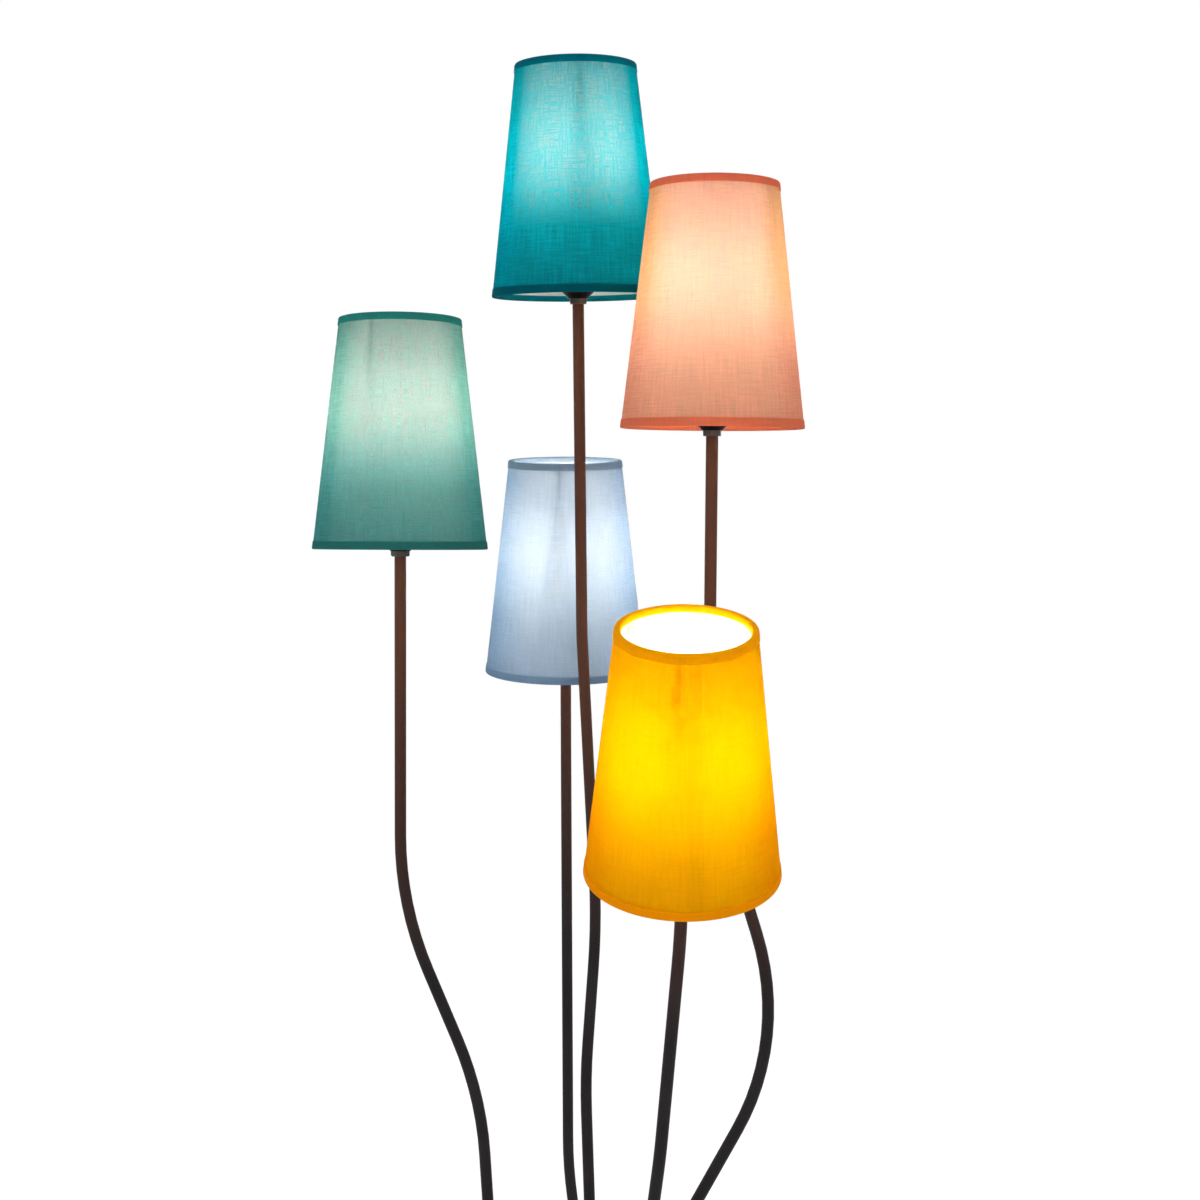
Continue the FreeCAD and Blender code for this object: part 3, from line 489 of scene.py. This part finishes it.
# Per shade: its seen colour, the lit pairs of the cords and of the ground between them, how
# strong the slubs are, and the number of cords round to the lap
cloth_tones = {
    "teal": dict(seen=(0.0, 0.17, 0.21), cord=((0.0, 0.38, 0.51), (0.001, 0.30, 0.38)),
                 ground=((0.02, 0.36, 0.27), (0.78, 1.0, 1.0)), slub=0.8, seam=144),
    "orange": dict(seen=(0.66, 0.23, 0.13), cord=((0.76, 0.49, 0.39), (0.58, 0.47, 0.25)),
                   ground=((0.96, 0.87, 0.66), (1.0, 0.72, 0.90)), slub=0.4, seam=108),
    "green": dict(seen=(0.045, 0.22, 0.21), cord=((0.11, 0.36, 0.38), (0.17, 0.36, 0.33)),
                  ground=((0.52, 0.80, 0.76), (1.0, 0.76, 0.82)), slub=0.65, seam=159),
    "blue": dict(seen=(0.28, 0.40, 0.56), cord=((0.34, 0.48, 0.66), (0.40, 0.51, 0.67)),
                 ground=((0.97, 1.0, 1.0), (1.0, 1.0, 1.0)), slub=0.4, seam=116),
    "yellow": dict(seen=(0.82, 0.30, 0.0), cord=((0.72, 0.42, 0.0), (0.58, 0.41, 0.0)),
                   ground=((0.80, 0.68, 0.0), (0.95, 0.58, 0.0)), slub=0.2, seam=358)}
liner_white = (0.92, 0.92, 0.90)
liner = cloth("white liner", (0.86, 0.86, 0.84), (liner_white, liner_white), slub=0.15)
shade_height, bottom_radius, top_radius = 0.1965, 0.075, 0.05225
mean_radius = (bottom_radius + top_radius) / 2
edge_inset, cloth_inset, cloth_wall = 0.0007, 0.00085, 0.0007
cords, cord_steps, ground_steps, cord_relief, lap_step = 520, 5, 2, 0.0003, 0.00008


def cone_radius(level):
    """Radius over the tapes at a height."""
    return bottom_radius + (top_radius - bottom_radius) * level / shade_height


def strip_map(bm):
    """UV map in metres along and across the strip that the cone is rolled from."""
    layer = bm.loops.layers.uv.new("Strip")
    for face in bm.faces:
        middle = face.calc_center_median()
        centre = math.atan2(middle.y, middle.x) % (2 * math.pi)
        for loop in face.loops:
            angle = math.atan2(loop.vert.co.y, loop.vert.co.x) % (2 * math.pi)
            if angle - centre > math.pi:
                angle -= 2 * math.pi
            elif centre - angle > math.pi:
                angle += 2 * math.pi
            loop[layer].uv = (angle * mean_radius, loop.vert.co.z)


# One cone serves all five: the lap starts at angle 0, and a turn by whole cords places it
rows, columns = 3, cords * cord_steps
column = 2 * math.pi / columns
foot, top = edge_inset, shade_height - edge_inset
levels = [foot + (top - foot) * i / rows for i in range(rows + 1)]
cone = lathe([(cone_radius(level) - cloth_inset, level) for level in levels], columns)
strip_map(cone)
outer_faces, outer_verts = list(cone.faces), list(cone.verts)
inner = bmesh.ops.duplicate(cone, geom=cone.verts[:] + cone.edges[:] + cone.faces[:])["geom"]
inner_faces = [part for part in inner if isinstance(part, bmesh.types.BMFace)]
inner_verts = [part for part in inner if isinstance(part, bmesh.types.BMVert)]
for vert in inner_verts:
    vert.co.xy *= 1 - cloth_wall / vert.co.xy.length
bmesh.ops.reverse_faces(cone, faces=inner_faces)
# Slots: the cords' cloth, the liner inside, and the ground between the cords
for face in inner_faces:
    face.material_index = 1
for face in outer_faces:
    middle = face.calc_center_median()
    number = int(math.atan2(middle.y, middle.x) / column % columns)
    if number % cord_steps < ground_steps:
        face.material_index = 2
for vert in outer_verts:
    number = round(math.atan2(vert.co.y, vert.co.x) / column) % columns
    lift = 0.0
    if number % cord_steps > ground_steps:
        lift += cord_relief * vert.co.xy.length / bottom_radius
    if number * column * mean_radius < lap:
        lift += lap_step
    vert.co.xy *= 1 + lift / vert.co.xy.length
rims = [edge for edge in cone.edges if edge.is_boundary]
lower_rims = [edge for edge in rims if edge.verts[0].co.z < shade_height / 2]
upper_rims = [edge for edge in rims if edge.verts[0].co.z > shade_height / 2]
bmesh.ops.bridge_loops(cone, edges=lower_rims)
bmesh.ops.bridge_loops(cone, edges=upper_rims)

for colour in colours:
    tones = cloth_tones[colour]
    cord_cloth = cloth(colour + " cords", tones["seen"], tones["cord"], tones["slub"])
    ground_cloth = cloth(colour + " ground", tones["seen"], tones["ground"], tones["slub"],
                         crossing=tones["cord"])
    shell = cone.copy()
    to_seam = Matrix.Rotation(tones["seam"] * cord_steps * column, 3, "Z")
    bmesh.ops.rotate(shell, cent=(0, 0, 0), matrix=to_seam, verts=shell.verts)
    piece(shell, colour + "_cloth", colour,
                                 [cord_cloth, liner, ground_cloth], [colour + "_shade"],
                                 sharp=40)

# ---- Edge tapes ----
# Bias tape of the shade's own colour, a tone deeper, folded over each hoop and glued to the
# cloth outside and to the liner inside.
tape_tones = {
    "teal": dict(seen=(0.0, 0.11, 0.15), lit=((0.0, 0.55, 0.60), (0.0, 0.9, 1.0))),
    "orange": dict(seen=(0.76, 0.22, 0.12), lit=((1.0, 0.48, 0.28), (1.0, 0.35, 0.15))),
    "green": dict(seen=(0.030, 0.19, 0.18), lit=((0.20, 0.60, 0.60), (0.20, 1.0, 0.9))),
    "blue": dict(seen=(0.20, 0.31, 0.44), lit=((0.70, 0.85, 1.0), (1.0, 1.0, 1.0))),
    "yellow": dict(seen=(0.98, 0.38, 0.0), lit=((1.0, 0.75, 0.0), (1.0, 1.0, 0.0)))}
tape_slub, tape_share = 0.2, 0.4
upper_tape, lower_tape, inner_fold, tape_wall = 0.0065, 0.0070, 0.0050, 0.0004
bend_depth = 0.0012
outer_roll = ((0.0004, 0.0003), (0.0014, 0.0))
inner_roll = ((0.0002, 0.0002), (0.0007, 0.0010), (0.0007, inner_fold))


def folded(edge, into, width, hoop_inside):
    """Profile of a tape from its outer border over the shade's edge and round the hoop. Into
    is 1 or -1, and the rolls stand in from the cone and from the hoop by depth."""
    outside = [(cone_radius(edge + into * depth), edge + into * depth)
               for depth in (width, bend_depth)]
    over = [(cone_radius(edge) - inset, edge + into * depth) for inset, depth in outer_roll]
    under = [(hoop_inside - inset, edge + into * depth) for inset, depth in inner_roll]
    return outside + over + under


tape_profiles = (("upper", folded(shade_height, -1, upper_tape, upper_radius - wire_radius)),
                 ("lower", folded(0.0, 1, lower_tape, lower_radius - wire_radius)[::-1]))
for colour in colours:
    tones = tape_tones[colour]
    tape = cloth(colour + " tape", tones["seen"], tones["lit"], tape_slub, tape_share)
    for edge, profile in tape_profiles:
        bm = lathe(profile, steps=120)
        strip_map(bm)
        bmesh.ops.solidify(bm, geom=bm.faces[:], thickness=tape_wall)
        piece(bm, "%s_%s_tape" % (colour, edge), colour, [tape],
                           [colour + "_shade_bands"], sharp=50)

# ---- Floor, light and camera ----
# Plain pale floor that glows a little for the eye, and a white surround. Two large soft lamps
# stand in front, and the camera is where the photograph was taken from.
floor_radius, floor_drop, floor_glow = 6.0, 0.0005, 0.42
surround_light, surround_seen = 0.65, 1.0


def seen_rays(tree):
    """Mask of the rays that see the background: from the camera, glossy and transmitted."""
    path = add(tree, "LightPath")
    direct = add(tree, "Math", {0: path.outputs["Is Camera Ray"],
                                1: path.outputs["Is Glossy Ray"]}, operation="MAXIMUM")
    return add(tree, "Math", {0: direct.outputs[0], 1: path.outputs["Is Transmission Ray"]},
               operation="MAXIMUM").outputs[0]


floor_mesh = bpy.data.meshes.new("floor")
floor_bm = bmesh.new()
bmesh.ops.create_circle(floor_bm, segments=96, radius=floor_radius, cap_ends=True)
floor_bm.to_mesh(floor_mesh)
floor_bm.free()
floor = bpy.data.objects.new("floor", floor_mesh)
bpy.context.scene.collection.objects.link(floor)
floor.location.z = -floor_drop
floor_paint, tree, shader = material("pale floor")
shader.inputs["Base Color"].default_value = (0.86, 0.86, 0.86, 1)
shader.inputs["Roughness"].default_value = 0.9
shader.inputs["Emission Color"].default_value = (1, 1, 1, 1)
lift = add(tree, "Math", {0: seen_rays(tree), 1: floor_glow}, operation="MULTIPLY")
tree.links.new(lift.outputs[0], shader.inputs["Emission Strength"])
floor_mesh.materials.append(floor_paint)

world = bpy.data.worlds.new("white surround")
bpy.context.scene.world = world
world.use_nodes = True
tree = world.node_tree
lighting = tree.nodes["Background"]
lighting.inputs["Color"].default_value = (1, 1, 1, 1)
lighting.inputs["Strength"].default_value = surround_light
white = add(tree, "Background", {"Color": (1, 1, 1, 1), "Strength": surround_seen})
choice = add(tree, "MixShader", {0: seen_rays(tree), 1: lighting.outputs[0],
                                 2: white.outputs[0]})
tree.links.new(choice.outputs[0], tree.nodes["World Output"].inputs["Surface"])

# Name, place, width in metres and power in watts of each lamp
lit_point = Vector((0, 0, 1.1))
for name, stand, width, power in (("key", (-2.2, -2.4, 2.6), 1.8, 28),
                                  ("fill", (2.4, -2.0, 1.8), 2.2, 16)):
    data = bpy.data.lights.new(name, "AREA")
    data.shape = "DISK"
    data.size = width
    data.energy = power
    lamp = bpy.data.objects.new(name, data)
    lamp.location = stand
    lamp.rotation_euler = (lit_point - Vector(stand)).to_track_quat("-Z", "Y").to_euler()
    bpy.context.scene.collection.objects.link(lamp)

# Camera fitted to the shades' rims; the focal length is 1809.5 pixels of the 1200 across
sensor_width, photo_focal, tilt_down = 36, 1809.5 / 1200, 6.246
camera_data = bpy.data.cameras.new("photo view")
camera_data.sensor_width = sensor_width
camera_data.lens = sensor_width * photo_focal
camera = bpy.data.objects.new("photo view", camera_data)
camera.location = (0, -1.510, 1.3135)
camera.rotation_euler = (math.radians(90 - tilt_down), 0, 0)
bpy.context.scene.collection.objects.link(camera)
bpy.context.scene.camera = camera
bpy.context.scene.view_settings.view_transform = "Standard"
